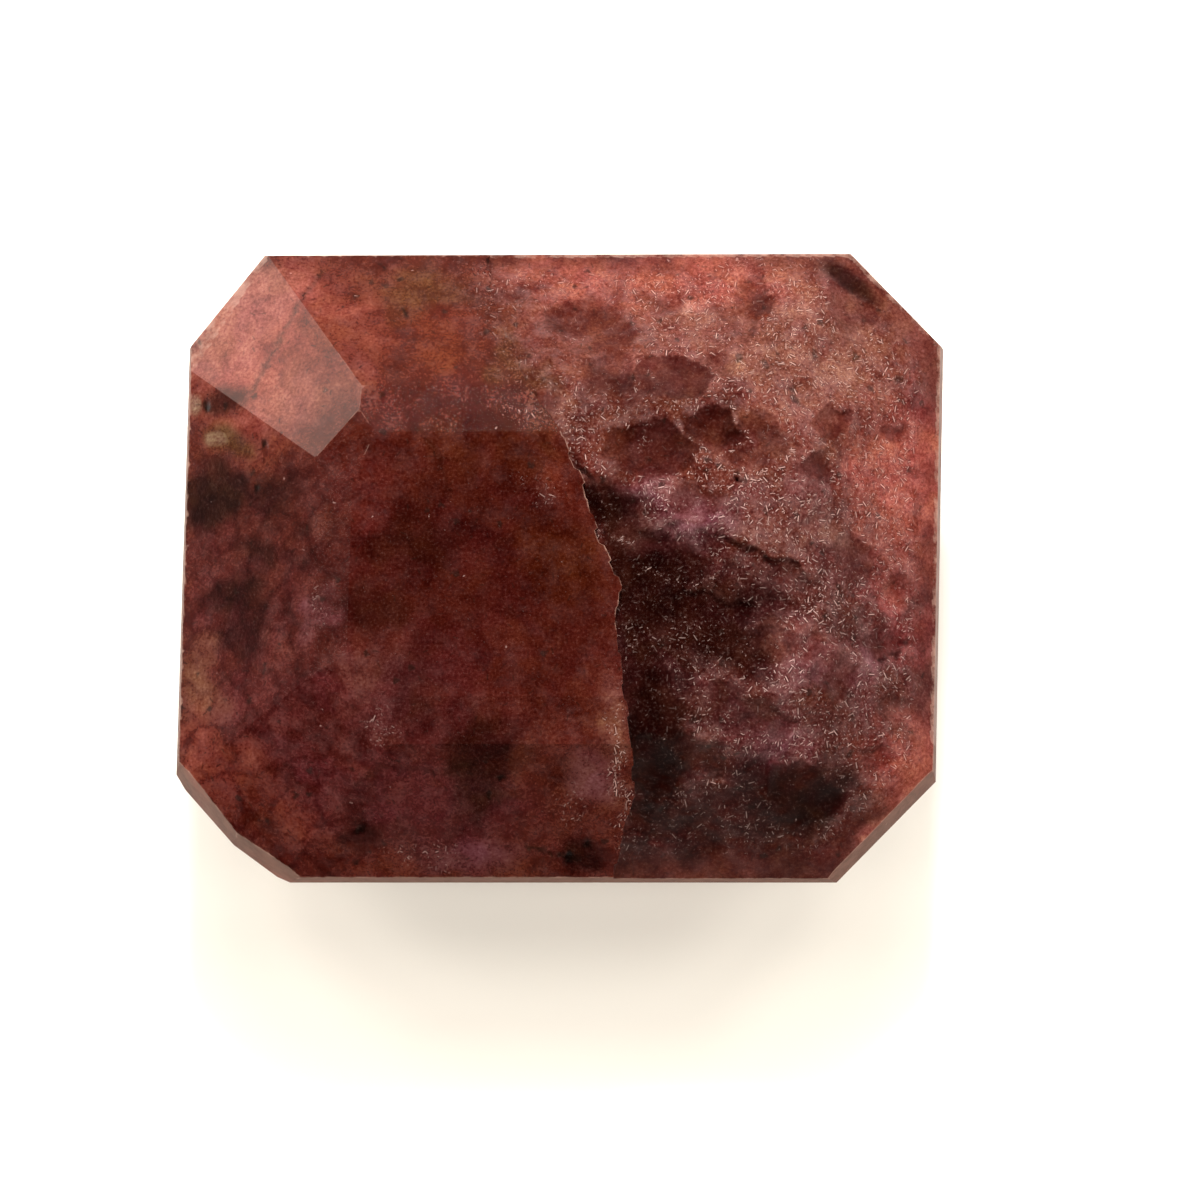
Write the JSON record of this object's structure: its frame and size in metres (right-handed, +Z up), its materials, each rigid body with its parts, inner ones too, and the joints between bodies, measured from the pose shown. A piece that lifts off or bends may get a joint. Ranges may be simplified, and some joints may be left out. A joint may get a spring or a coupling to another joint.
{
  "type": "faceted rhodonite gemstone",
  "caption": "Loose faceted rhodonite: an octagonal step-cut stone with a polished side and a broken side, crown up on its flat base facet.",
  "frame": {"origin": "on the resting surface, under the middle of the stone's box", "axes": "+X along the stone's length towards its broken side, +Z up through the table facet"},
  "size_m": [0.0102, 0.0084, 0.0047],
  "materials": {
    "rhodonite": "hand-polished on one side of the crack, rough break on the other; brownish red with pink margins"
  },
  "bodies": {
    "root": {"rhodonite": "rhodonite"}
  },
  "joints": []
}
